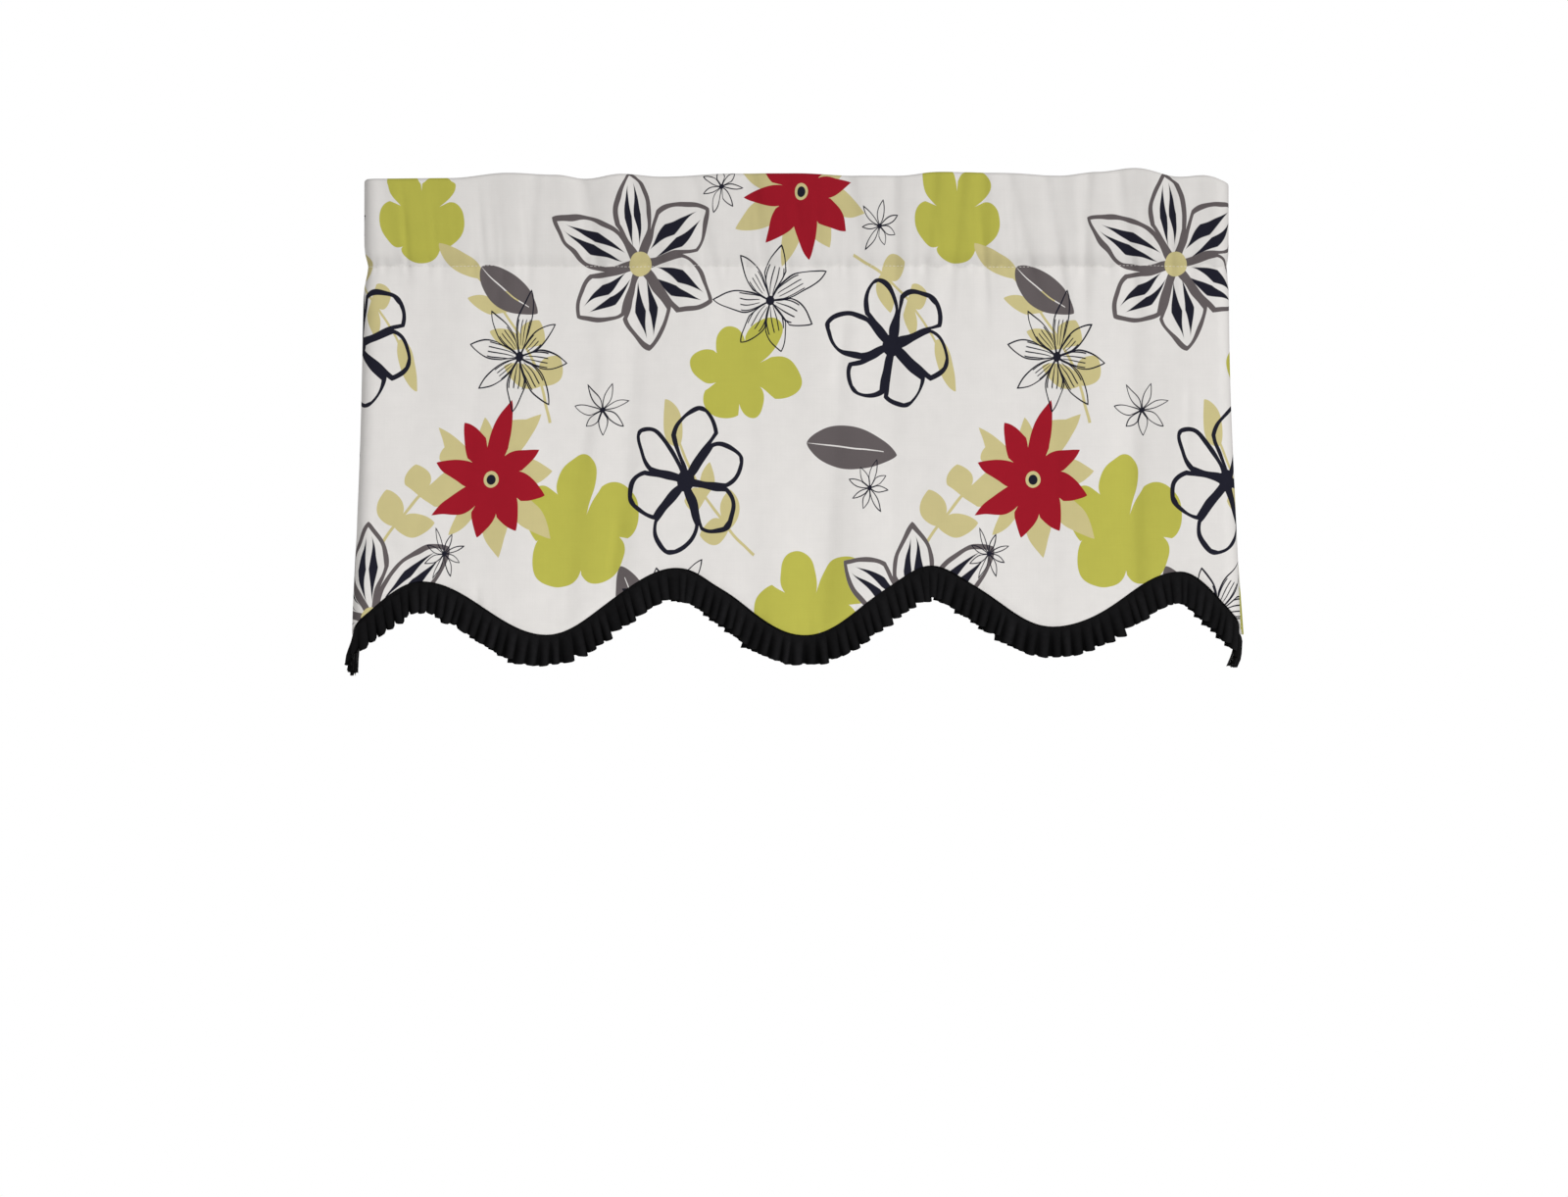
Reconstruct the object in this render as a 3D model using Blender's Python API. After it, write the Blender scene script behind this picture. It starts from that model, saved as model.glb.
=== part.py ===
"""Window valance: a printed cotton cloth with a rod pocket at its head, a return at each end and a
scalloped hem, and a black knife-pleated trim sewn under that hem.

Metres, +Z up. The origin is the crown of the top fold in the middle of the face. X runs along the
width, the front faces -Y and the wall is on the +Y side. A place on the cloth is given by `along`,
its way along the rod from the middle of the face, round a corner and back to the wall, and by
`drop`, its distance below the origin.
"""
import math

import bpy
from mathutils import Vector

# Sizes of the valance
FACE_WIDTH = 0.724          # across its two corners, at the rod
RETURN_DEPTH = 0.083        # from the face back to the wall
CORNER_RADIUS = 0.012       # bend of the cloth round each end of the rod
TIGHT_BEND = 0.0015         # the least bend of an inner layer there
POCKET_DEPTH = 0.015        # from the pocket's front layer to its back layer
SEAM_DROP = 0.0776          # stitch line under the rod
SEAM_PINCH = 0.0016         # how far the stitches draw the face in
SEAM_REACH = 0.009          # how far above and below the seam that shows
ROD_LOW = 0.066             # the pocket's back hangs straight down to here
TURNING = 0.003             # the pocket's lower edge, below the stitch line
CLOTH = 0.0016              # thickness of a layer
GAP = 0.0003                # between two pieces that touch

# How it hangs at the hem, against a straight drop from the rod; left and right as seen from the front
SPLAY = 0.008               # each corner stands out to its side
FLARE_LEFT = 0.005          # each wall edge swings out further than its corner
FLARE_RIGHT = 0.010
LEAN = 0.006                # the face stands forward
FULL_DROP = 0.386           # where those three are reached

# Trim
PLEAT_PITCH = 0.0086        # along the hem
TRIM_DEPTH = 0.0272         # seen below the hem
TRIM_TUCK = 0.008           # hidden behind the hem
TRIM_CLOTH = 0.0012         # thickness of a layer
PLEAT_RISE = 0.0022         # height of a fold over the next pleat
PLEAT_STEEP = 0.92          # share of the pitch that a pleat rises over
PLEAT_FOLLOW = 0.42         # how far the pleats turn with the slope of the hem
END_CALM = 0.160            # over this way from a wall edge they turn less, down to none
HEM_BEHIND = 0.0006         # from the cloth's back to the trim
HEM_CLEAR = 0.0004          # the trim stays behind the cloth this far below the hem
HEADING = 0.0065            # its pleats are pressed flat down to here
OPEN_FROM = 0.0120          # and open from here
TRIM_OUT = (                # along, how far the lower edge stands out from the hang of the cloth
    (-0.440, -0.0010), (-0.345, 0.0010), (0.345, 0.0000), (0.376, -0.0085), (0.440, -0.0105),
)

# Mesh steps
FACE_STEP = 0.006
CORNER_STEPS = 6
RETURN_STEPS = 8

# Top fold: height of the crown along the rod
TOP_EDGE = (                # along, height
    (-0.440, -0.0045), (-0.345, -0.0045), (-0.290, -0.0040), (-0.242, 0.0004),
    (-0.202, -0.0012), (-0.176, -0.0045), (-0.146, -0.0004), (-0.113, -0.0029),
    (-0.050, -0.0002), (0.000, 0.0000), (0.050, -0.0020), (0.087, -0.0020),
    (0.119, 0.0012), (0.172, 0.0004), (0.221, -0.0020), (0.252, 0.0012),
    (0.283, 0.0045), (0.322, -0.0029), (0.340, -0.0016), (0.366, -0.0070), (0.440, -0.0045),
)

# Hem: highest and lowest points of the scallops, above the trim
HEM = (                     # along, drop
    (-0.500, 0.3960), (-0.392, 0.3910), (-0.3075, 0.3408), (-0.2030, 0.3856),
    (-0.0985, 0.3295), (0.0068, 0.3857), (0.1125, 0.3262), (0.2085, 0.3783),
    (0.3150, 0.3325), (0.385, 0.3850), (0.500, 0.3870),
)
HEM_SAGS = (                # along, half width, how much lower the hem hangs there
    (-0.164, 0.026, -0.0026), (-0.068, 0.014, 0.0025), (0.082, 0.020, 0.0034),
    (0.138, 0.022, 0.0042), (0.259, 0.030, 0.0034),
)

# Soft folds that run down the cloth
FOLDS = (                   # along at the seam and at the hem, left and right half width, depth at each
    (-0.400, -0.404, 0.022, 0.022, 0.0006, 0.0030),
    (-0.256, -0.291, 0.024, 0.010, 0.0012, 0.0014),
    (-0.208, -0.206, 0.016, 0.009, 0.0010, 0.0004),
    (-0.172, -0.192, 0.022, 0.012, 0.0016, 0.0026),
    (-0.132, -0.149, 0.018, 0.008, 0.0010, 0.0022),
    (-0.043, -0.037, 0.016, 0.010, 0.0011, 0.0006),
    (-0.004, 0.004, 0.020, 0.012, 0.0003, 0.0012),
    (0.042, 0.018, 0.022, 0.010, 0.0014, 0.0026),
    (0.081, 0.076, 0.018, 0.009, 0.0012, 0.0012),
    (0.190, 0.192, 0.024, 0.016, 0.0012, 0.0020),
    (0.220, 0.209, 0.016, 0.008, 0.0014, 0.0008),
    (0.279, 0.276, 0.022, 0.009, 0.0018, 0.0040),
    (0.404, 0.398, 0.022, 0.022, 0.0006, 0.0034),
)
FOLD_FORWARD = 0.0011       # the cloth between the folds stands this far forward

COTTON = ("printed_cotton", (0.77, 0.75, 0.71), 0.85)
BLACK = ("black_ruffle_cloth", (0.012, 0.012, 0.013), 0.8)

HALF = FACE_WIDTH / 2
STRAIGHT = HALF - CORNER_RADIUS
BEND = CORNER_RADIUS * math.pi / 2
END = STRAIGHT + BEND + RETURN_DEPTH - CORNER_RADIUS
FRONT = -POCKET_DEPTH / 2


def eased(table, at):
    """A smooth line through a table's high and low points."""
    for (a, low), (b, high) in zip(table, table[1:]):
        if at <= b:
            share = min(max((at - a) / (b - a), 0.0), 1.0)
            return low + (high - low) * (1 - math.cos(math.pi * share)) / 2
    return table[-1][1]


def hem_drop(along):
    """How far down the hem hangs."""
    sags = (depth * math.exp(-((along - at) / width) ** 2) for at, width, depth in HEM_SAGS)
    return eased(HEM, along) + sum(sags)


def hung(drop):
    """0 down to the seam, rising to 1 at the hem."""
    share = max((drop - SEAM_DROP) / (FULL_DROP - SEAM_DROP), 0.0)
    return share ** 1.25


def fold_depth(along, drop):
    """How far the soft folds draw the cloth in."""
    low = min(max((drop - SEAM_DROP) / (FULL_DROP - SEAM_DROP), 0.0), 1.1)
    inward = -FOLD_FORWARD * low
    for top, hem, left, right, shallow, deep in FOLDS:
        aside = along - top - (hem - top) * low
        depth = shallow + (deep - shallow) * low
        inward += depth * math.exp(-(aside / (left if aside < 0 else right)) ** 2)
    return inward


def seam_depth(drop):
    """How far the stitches draw the cloth in."""
    return SEAM_PINCH * math.exp(-((drop - SEAM_DROP) / SEAM_REACH) ** 2)


def place(along, drop, inward=0.0):
    """The point on a layer of the cloth, and the way it faces. Inward is measured from the face's middle."""
    way = math.copysign(1.0, along)
    run = abs(along)
    bend = max(CORNER_RADIUS - inward, TIGHT_BEND)
    straight = HALF - inward - bend
    if run <= STRAIGHT:
        turn = 0.0
        x, deep = run * straight / STRAIGHT, inward
    elif run <= STRAIGHT + BEND:
        turn = (run - STRAIGHT) / CORNER_RADIUS
        x, deep = straight + bend * math.sin(turn), inward + bend * (1 - math.cos(turn))
    else:
        turn = math.pi / 2
        share = (run - STRAIGHT - BEND) / (RETURN_DEPTH - CORNER_RADIUS)
        x, deep = HALF - inward, inward + bend + (RETURN_DEPTH - inward - bend) * share
    out = Vector((way * math.sin(turn), -math.cos(turn), 0.0))
    back = deep / RETURN_DEPTH
    hang = hung(drop)
    x = x * (1 + SPLAY * hang / HALF) + (FLARE_LEFT if along < 0 else FLARE_RIGHT) * hang * back
    y = FRONT + deep - LEAN * hang * (1 - back)
    return Vector((way * x, y, -drop)), out


def surface(along, drop, inward=0.0):
    """The hanging cloth, with its folds."""
    return place(along, drop, inward + fold_depth(along, drop) + seam_depth(drop))


def stations():
    """The places along the rod at which the cloth is measured."""
    count = round(2 * STRAIGHT / FACE_STEP)
    face = [-STRAIGHT + 2 * STRAIGHT * n / count for n in range(count + 1)]
    corner = [STRAIGHT + BEND * n / CORNER_STEPS for n in range(1, CORNER_STEPS + 1)]
    reach = END - STRAIGHT - BEND
    side = [STRAIGHT + BEND + reach * n / RETURN_STEPS for n in range(1, RETURN_STEPS + 1)]
    outer = corner + side
    return [-a for a in reversed(outer)] + face + outer


def closed_strip(name, sections, finish):
    """A solid from its cross sections, each a list of (front point, back point) pairs."""
    points, faces = [], []
    rows = len(sections[0])
    for section in sections:
        points += [front for front, back in section] + [back for front, back in reversed(section)]
    ring = 2 * rows
    for n in range(len(sections) - 1):
        for m in range(ring):
            a, b = n * ring + m, n * ring + (m + 1) % ring
            faces.append((a, b, b + ring, a + ring))
    last = (len(sections) - 1) * ring
    for m in range(rows - 1):
        faces.append((m, ring - 1 - m, ring - 2 - m, m + 1))
        faces.append((last + m, last + m + 1, last + ring - 2 - m, last + ring - 1 - m))
    mesh = bpy.data.meshes.new(name)
    mesh.from_pydata([tuple(p) for p in points], [], faces)
    mesh.validate()
    mesh.shade_smooth()
    mesh.set_sharp_from_angle(angle=math.radians(35))
    mesh.materials.append(material(*finish))
    solid = bpy.data.objects.new(name, mesh)
    bpy.context.scene.collection.objects.link(solid)
    return solid


def material(name, colour, roughness):
    made = bpy.data.materials.get(name)
    if made:
        return made
    made = bpy.data.materials.new(name)
    made.use_nodes = True
    shader = made.node_tree.nodes["Principled BSDF"]
    shader.inputs["Base Color"].default_value = (*colour, 1.0)
    shader.inputs["Roughness"].default_value = roughness
    shader.inputs["Metallic"].default_value = 0.0
    return made


def layer(point, out, thickness=CLOTH):
    """The front and back of a layer round its middle."""
    return point + out * thickness / 2, point - out * thickness / 2


def crown(along, turn):
    """The top fold at an angle, from 0 where its front starts to pi where its back ends."""
    radius = POCKET_DEPTH / 2
    top = eased(TOP_EDGE, along)
    drop = radius * (1 - math.sin(turn)) - top
    inward = radius * (1 - math.cos(turn))
    point, out = place(along, drop, inward + fold_depth(along, drop) * math.cos(turn / 2) ** 2)
    return point, out * math.cos(turn) + Vector((0.0, 0.0, math.sin(turn)))


def valance_face():
    """The cloth from the crown of the top fold down to the scalloped hem, with both returns."""
    sections = []
    for along in stations():
        split = math.pi / 2 - GAP / POCKET_DEPTH
        section = [layer(*crown(along, turn)) for turn in (split, math.pi / 4, 0.0)]
        hem = hem_drop(along)
        pocket = [0.036, SEAM_DROP - SEAM_REACH, SEAM_DROP, SEAM_DROP + SEAM_REACH]
        skirt = [0.130, 0.190, 0.250, hem - 0.040, hem - TRIM_TUCK, hem]
        section += [layer(*surface(along, drop)) for drop in pocket + skirt]
        sections.append(section)
    return closed_strip("valance_face", sections, COTTON)


def rod_pocket():
    """The head of the cloth, turned over to the back and brought to the face at the seam."""
    against = CLOTH + GAP
    levels = (              # drop, distance behind the face
        (0.036, POCKET_DEPTH), (ROD_LOW, POCKET_DEPTH), (SEAM_DROP - 0.005, 0.0062),
        (SEAM_DROP, against), (SEAM_DROP + TURNING, against),
    )
    sections = []
    for along in reversed(stations()):
        split = math.pi / 2 + GAP / POCKET_DEPTH
        section = [layer(*crown(along, turn)) for turn in (split, 3 * math.pi / 4, math.pi)]
        for drop, inward in levels:
            near = 1 - (inward - against) / (POCKET_DEPTH - against)
            drawn = (fold_depth(along, drop) + seam_depth(drop)) * near
            point, out = place(along, drop, inward + drawn)
            front, back = layer(point, out)
            section.append((back, front))
        sections.append(section)
    return closed_strip("rod_pocket", sections, COTTON)


def hem_line():
    """The hem as evenly spaced points (along, drop), one pleat apart."""
    fine, length = [], [0.0]
    steps = 4000
    for n in range(steps + 1):
        along = -END + 2 * END * n / steps
        fine.append((along, hem_drop(along)))
    for a, b in zip(fine, fine[1:]):
        length.append(length[-1] + math.dist(a, b))
    count = round(length[-1] / PLEAT_PITCH)
    pitch = length[-1] / count
    marks, n = [], 0
    for number in range(count + 1):
        for share in (0.0, PLEAT_STEEP):
            want = min((number + share) * pitch, length[-1])
            while n < steps - 1 and length[n + 1] < want:
                n += 1
            part = (want - length[n]) / (length[n + 1] - length[n])
            a, b = fine[n], fine[n + 1]
            marks.append((a[0] + (b[0] - a[0]) * part, a[1] + (b[1] - a[1]) * part))
    return marks[:2 * count + 1]


def pleated_trim():
    """Knife pleats that turn a little with the hem, each over the start of the next."""
    marks = hem_line()
    tucked = -(CLOTH / 2 + HEM_BEHIND)
    sections = []
    for number in range(0, len(marks) - 1, 2):
        start, end = marks[number], marks[number + 1]
        follow = PLEAT_FOLLOW * min(1.0, (END - abs(start[0])) / END_CALM)
        slope = math.atan2(end[1] - start[1], end[0] - start[0]) * follow
        down = (-math.sin(slope), math.cos(slope))
        fall = (end[0] - start[0]) * down[0] + (end[1] - start[1]) * down[1]
        for mark, risen, depth in (
            (start, 0.0, TRIM_DEPTH + fall / 2),
            (end, 1.0, TRIM_DEPTH - fall / 2),
        ):
            sections.append(pleat_edge(mark, down, risen, depth, tucked))
    mark = marks[-1]
    sections.append(pleat_edge(mark, (0.0, 1.0), 0.0, TRIM_DEPTH, tucked))
    return closed_strip("pleated_trim", sections, BLACK)


def pleat_edge(mark, down, risen, depth, tucked):
    """One line of a pleat, from its tucked top to its lower edge."""
    levels = (              # way down the pleat, share of the rise
        (-TRIM_TUCK, 0.0), (HEM_CLEAR, 0.0), (HEADING, 0.3 * risen), (OPEN_FROM, 0.8 * risen), (depth, risen),
    )
    aside = eased(TRIM_OUT, mark[0]) / TRIM_DEPTH
    section = []
    for way, rise in levels:
        inner = tucked + PLEAT_RISE * rise + aside * max(way, 0.0)
        point, out = surface(mark[0] + down[0] * way, mark[1] + down[1] * way)
        section.append((point + out * inner, point + out * (inner - TRIM_CLOTH)))
    return section


def main():
    for old in list(bpy.data.objects):
        bpy.data.objects.remove(old)
    valance_face()
    rod_pocket()
    pleated_trim()


main()
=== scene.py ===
"""Looks of the window valance: printed cotton with a rod pocket, soft folds and a scalloped hem, its
stitching, and a black knife-pleated trim. The cloth is laid on the same named sizes as the solids.

A place on the cloth is given by `along`, its way along the rod from the middle of the face, round a
corner and back to the wall, and by `drop`, its distance below the crown of the top fold.
"""
import math

import bpy
import numpy as np
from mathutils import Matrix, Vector


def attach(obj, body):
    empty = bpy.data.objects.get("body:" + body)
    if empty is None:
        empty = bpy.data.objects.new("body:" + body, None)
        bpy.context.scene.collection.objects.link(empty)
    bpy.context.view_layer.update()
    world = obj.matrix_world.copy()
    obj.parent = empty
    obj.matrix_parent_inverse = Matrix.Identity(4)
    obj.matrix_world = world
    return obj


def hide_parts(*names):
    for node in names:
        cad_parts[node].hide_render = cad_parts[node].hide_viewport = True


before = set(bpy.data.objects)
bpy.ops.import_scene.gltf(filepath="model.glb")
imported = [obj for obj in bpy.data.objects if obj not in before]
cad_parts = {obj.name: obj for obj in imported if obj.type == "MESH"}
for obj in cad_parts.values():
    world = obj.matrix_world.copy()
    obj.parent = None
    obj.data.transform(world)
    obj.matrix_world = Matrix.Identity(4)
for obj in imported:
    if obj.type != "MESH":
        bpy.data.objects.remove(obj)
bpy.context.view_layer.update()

# Sizes of the valance, in metres
FACE_WIDTH = 0.724
RETURN_DEPTH = 0.083
CORNER_RADIUS = 0.012
TIGHT_BEND = 0.0015         # the least bend of an inner layer there
POCKET_DEPTH = 0.015
ROD_EDGE = 0.0030           # radius of the flat rod's upper edges
ROD_SAG = 0.0004            # the cloth's dip between them
SEAM_DROP = 0.0776
SEAM_PINCH = 0.0016
SEAM_REACH = 0.0065         # above the seam; further below it
ROD_LOW = 0.066
TURNING = 0.003             # the pocket's back runs this far below the seam
SPLAY = 0.008               # each corner stands this much further out at the hem
FLARE_LEFT = 0.005          # and the wall edges swing out by these
FLARE_RIGHT = 0.010
LEAN = 0.006                # of the face, forward at the hem
FULL_DROP = 0.386           # the scallops' low points

# The cloth
COTTON_THICK = 0.0005
HEM_FOLD = 0.00045          # radius of the turned hem's fold
HEM_ALLOWANCE = 0.0095      # turned up behind the scallops
SIDE_HEM = 0.020            # double hem at each wall edge
SIDE_HEM_THICK = 0.0009
FULLNESS = 1.15             # flat width of the cloth over the way along the rod
STITCH_GROOVE = 0.0002      # the thread sinks in this far along the seam
STITCH = 0.0024             # length of thread seen in a stitch
STITCH_STEP = 0.0032
THREAD = 0.00019            # radius

# The trim
PLEAT_PITCH = 0.0086
TRIM_DEPTH = 0.0272
TRIM_TUCK = 0.008
TRIM_THICK = 0.0004
PLEAT_UNDER = 0.0050        # folded under each pleat
PLEAT_FOLLOW = 0.42         # share of the hem's slope that a pleat turns with,
END_CALM = 0.160            # less within this of a wall edge
HEADING = 0.0065            # pressed flat down to here
FOLDS_SHOW = 0.0120         # the folds' shade is full from here
BEHIND_HEM = 0.0011         # the head's distance from the hem's turning
LOOSE_TO = -0.34            # the pleats hang loose from the left wall edge to here,
NEAT_FROM = -0.24           # and neatly from here on
TRIM_OUT = (                # along, how far the lower edge stands out
    (-0.440, -0.0010), (-0.345, 0.0010), (0.345, 0.0000), (0.376, -0.0085), (0.440, -0.0105),
)

TIGHT_SEAM = (              # along, half width, how much harder the thread draws there
    (-0.352, 0.022, 2.0), (-0.170, 0.050, 0.5), (0.190, 0.070, 2.0), (0.345, 0.018, 0.6),
)
TOP_EDGE = (                # along, height of the crown
    (-0.440, -0.0045), (-0.345, -0.0045), (-0.290, -0.0040), (-0.242, 0.0004),
    (-0.202, -0.0012), (-0.176, -0.0045), (-0.146, -0.0004), (-0.113, -0.0029),
    (-0.050, -0.0002), (0.000, 0.0000), (0.050, -0.0020), (0.087, -0.0020),
    (0.119, 0.0012), (0.172, 0.0004), (0.221, -0.0020), (0.252, 0.0012),
    (0.283, 0.0045), (0.322, -0.0029), (0.340, -0.0016), (0.366, -0.0070), (0.440, -0.0045),
)
HEM = (                     # along, drop of the scallops' highest and lowest points
    (-0.500, 0.3960), (-0.392, 0.3910), (-0.3075, 0.3408), (-0.2030, 0.3856),
    (-0.0985, 0.3295), (0.0068, 0.3857), (0.1125, 0.3262), (0.2085, 0.3783),
    (0.3150, 0.3325), (0.385, 0.3850), (0.500, 0.3870),
)
HEM_SAGS = (                # along, half width, how much lower the hem hangs there
    (-0.164, 0.026, -0.0026), (-0.068, 0.014, 0.0025), (0.082, 0.020, 0.0034),
    (0.138, 0.022, 0.0042), (0.259, 0.030, 0.0034),
)
FOLDS = (                   # along at the seam and at the hem, left and right half width, depth at each
    (-0.400, -0.404, 0.022, 0.022, 0.0006, 0.0030),
    (-0.256, -0.291, 0.024, 0.010, 0.0012, 0.0014),
    (-0.208, -0.206, 0.016, 0.009, 0.0010, 0.0004),
    (-0.172, -0.192, 0.022, 0.012, 0.0016, 0.0026),
    (-0.132, -0.149, 0.018, 0.008, 0.0010, 0.0022),
    (-0.043, -0.037, 0.016, 0.010, 0.0011, 0.0006),
    (-0.004, 0.004, 0.020, 0.012, 0.0003, 0.0012),
    (0.042, 0.018, 0.022, 0.010, 0.0014, 0.0026),
    (0.081, 0.076, 0.018, 0.009, 0.0012, 0.0012),
    (0.190, 0.192, 0.024, 0.016, 0.0012, 0.0020),
    (0.220, 0.209, 0.016, 0.008, 0.0014, 0.0008),
    (0.279, 0.276, 0.022, 0.009, 0.0018, 0.0040),
    (0.404, 0.398, 0.022, 0.022, 0.0006, 0.0034),
)
FOLD_FORWARD = 0.0011
GATHERS = (                 # along at the crown and at the seam, half width, depth
    (-0.348, -0.334, 0.0060, 0.0010),
    (-0.300, -0.292, 0.0070, 0.0007),
    (-0.218, -0.224, 0.0050, 0.0011),
    (-0.180, -0.166, 0.0055, 0.0017),
    (-0.140, -0.112, 0.0050, 0.0013),
    (-0.088, -0.069, 0.0055, 0.0011),
    (-0.038, -0.024, 0.0060, 0.0014),
    (-0.010, 0.016, 0.0050, 0.0008),
    (0.043, 0.058, 0.0060, 0.0013),
    (0.082, 0.083, 0.0050, 0.0013),
    (0.116, 0.108, 0.0050, 0.0014),
    (0.139, 0.131, 0.0050, 0.0015),
    (0.157, 0.158, 0.0045, 0.0017),
    (0.177, 0.196, 0.0055, 0.0015),
    (0.208, 0.221, 0.0050, 0.0014),
    (0.244, 0.242, 0.0050, 0.0022),
    (0.270, 0.281, 0.0045, 0.0015),
    (0.313, 0.314, 0.0050, 0.0019),
    (0.336, 0.330, 0.0050, 0.0010),
)
CREASES = (                 # along and drop at the start and at the end, half width, depth
    (-0.344, 0.300, -0.311, 0.336, 0.0045, 0.0011),
    (-0.362, 0.300, -0.345, 0.345, 0.0060, 0.0010),
    (-0.300, 0.262, -0.318, 0.318, 0.0060, 0.0006),
    (0.326, 0.180, 0.324, 0.228, 0.0030, 0.0008),
    (0.040, 0.126, 0.034, 0.175, 0.0050, 0.0010),
    (-0.245, 0.084, -0.252, 0.112, 0.0045, 0.0011),
    (-0.166, 0.150, -0.176, 0.235, 0.0060, 0.0009),
    (-0.146, 0.290, -0.152, 0.335, 0.0040, 0.0010),
)

HALF = FACE_WIDTH / 2
STRAIGHT = HALF - CORNER_RADIUS
BEND = CORNER_RADIUS * math.pi / 2
END = STRAIGHT + BEND + RETURN_DEPTH - CORNER_RADIUS
FRONT = -POCKET_DEPTH / 2
TOP_RUN = POCKET_DEPTH / 2 - ROD_EDGE
CROWN_EXTRA = TOP_RUN + ROD_EDGE * (math.pi / 2 - 1)
CHANCE = np.random.default_rng(7)


# --- the hanging cloth ---

def eased(table, at):
    """A smooth line through a table's high and low points."""
    ways, values = np.array(table).T
    after = np.clip(np.searchsorted(ways, at), 1, len(ways) - 1)
    share = np.clip((at - ways[after - 1]) / (ways[after] - ways[after - 1]), 0, 1)
    rise = (1 - np.cos(math.pi * share)) / 2
    return values[after - 1] + (values[after] - values[after - 1]) * rise


def hem_drop(along):
    """How far down the hem hangs."""
    return eased(HEM, along) + sum(depth * hump(along, at, width) for at, width, depth in HEM_SAGS)


def smooth(low, high, at):
    """0 below low, 1 above high, and a soft step between."""
    share = np.clip((at - low) / (high - low), 0, 1)
    return share * share * (3 - 2 * share)


def hump(at, middle, width):
    """1 at the middle, fading to both sides."""
    return np.exp(-((at - middle) / width) ** 2)


def hung(drop):
    """0 down to the seam, rising to 1 at the hem."""
    return np.maximum((drop - SEAM_DROP) / (FULL_DROP - SEAM_DROP), 0) ** 1.25


def fold_depth(along, drop):
    """How far the soft folds draw the cloth in."""
    low = np.clip((drop - SEAM_DROP) / (FULL_DROP - SEAM_DROP), 0, 1.1)
    inward = -FOLD_FORWARD * low
    for top, hem, left, right, shallow, deep in FOLDS:
        middle = top + (hem - top) * low
        width = np.where(along < middle, left, right)
        inward = inward + (shallow + (deep - shallow) * low) * hump(along, middle, width)
    return inward


def seam_line(along):
    """The drop of the pocket's seam, which isn't sewn quite straight."""
    return SEAM_DROP + 0.0004 * np.sin(37 * along + 1.0) + 0.0003 * np.sin(83 * along)


def seam_depth(along, drop):
    """How far the seam's thread draws the cloth in."""
    below = drop - seam_line(along)
    tight = 0.8 + sum(more * hump(along, at, width) for at, width, more in TIGHT_SEAM)
    reach = SEAM_REACH * np.where(below < 0, 0.7 + 0.35 * tight, 2.0)
    return SEAM_PINCH * tight * hump(below, 0, reach) + STITCH_GROOVE * hump(below, 0, 0.0016)


def place(along, drop, inward=0.0):
    """Points on a layer of the cloth, and the way it faces. Inward is measured from the face's middle."""
    values = [np.asarray(value, float) for value in (along, drop, inward)]
    along, drop, inward = np.broadcast_arrays(*values)
    way, run = np.where(along < 0, -1.0, 1.0), np.abs(along)
    bend = np.maximum(CORNER_RADIUS - inward, TIGHT_BEND)
    turn = np.clip((run - STRAIGHT) / CORNER_RADIUS, 0, math.pi / 2)
    share = np.maximum(run - STRAIGHT - BEND, 0) / (RETURN_DEPTH - CORNER_RADIUS)
    x = (HALF - inward - bend) * np.minimum(run / STRAIGHT, 1) + bend * np.sin(turn)
    deep = inward + bend * (1 - np.cos(turn)) + (RETURN_DEPTH - inward - bend) * share
    out = np.stack([way * np.sin(turn), -np.cos(turn), 0 * turn], -1)
    back = deep / RETURN_DEPTH
    hang = hung(drop)
    x = x * (1 + SPLAY * hang / HALF) + np.where(along < 0, FLARE_LEFT, FLARE_RIGHT) * hang * back
    y = FRONT + deep - LEAN * hang * (1 - back)
    return np.stack([way * x, y, -drop], -1), out


def gathers(along, drop):
    """Narrow gathers that run over the rod and fade below the seam."""
    below = drop - SEAM_DROP
    share = np.clip(drop / SEAM_DROP, 0, 1.6)
    fade = np.where(below < 0, 1.0, np.exp(-(below / 0.045) ** 2)) * (1 - 0.35 * hump(drop, 0.035, 0.02))
    total = np.zeros_like(along)
    for top, low, width, depth in GATHERS:
        middle = top + (low - top) * share
        reach = np.where(along < middle, 1.5 * width, 0.9 * width)
        total += depth * hump(along, middle, reach)
    return total * fade


PUCKER_STEP = 0.0088
PUCKERS = np.arange(-END, END, PUCKER_STEP)
PUCKERS = PUCKERS + CHANCE.uniform(-0.003, 0.003, len(PUCKERS))
PUCKER_DEPTHS = CHANCE.uniform(-0.0003, 0.0009, len(PUCKERS))
PUCKER_REACHES = CHANCE.uniform(0.006, 0.017, len(PUCKERS))
FINE = CHANCE.uniform(-0.350, 0.350, 64)
FINE_DEPTHS = CHANCE.uniform(0.00010, 0.00050, len(FINE))
HEM_CHANCE = np.random.default_rng(11)
HEM_PUCKERS = HEM_CHANCE.uniform(-END, END, 60)
HEM_PUCKER_DEPTHS = HEM_CHANCE.uniform(-0.0001, 0.0006, len(HEM_PUCKERS))


def puckers(along, drop):
    """Short dimples where the stitches draw the cloth up, and fine ones over the rod."""
    total = np.zeros_like(along)
    for at, depth, reach in zip(PUCKERS, PUCKER_DEPTHS, PUCKER_REACHES):
        total += depth * hump(along, at, 0.0027) * hump(drop, SEAM_DROP, reach)
    for at, depth in zip(FINE, FINE_DEPTHS):
        total += depth * hump(along, at + 0.08 * (drop - 0.05), 0.0028) * hump(drop, 0.052, 0.034)
    hem = hem_drop(along)
    for at, depth in zip(HEM_PUCKERS, HEM_PUCKER_DEPTHS):
        total += depth * hump(along, at, 0.0030) * hump(drop, hem, 0.011)
    return total


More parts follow.
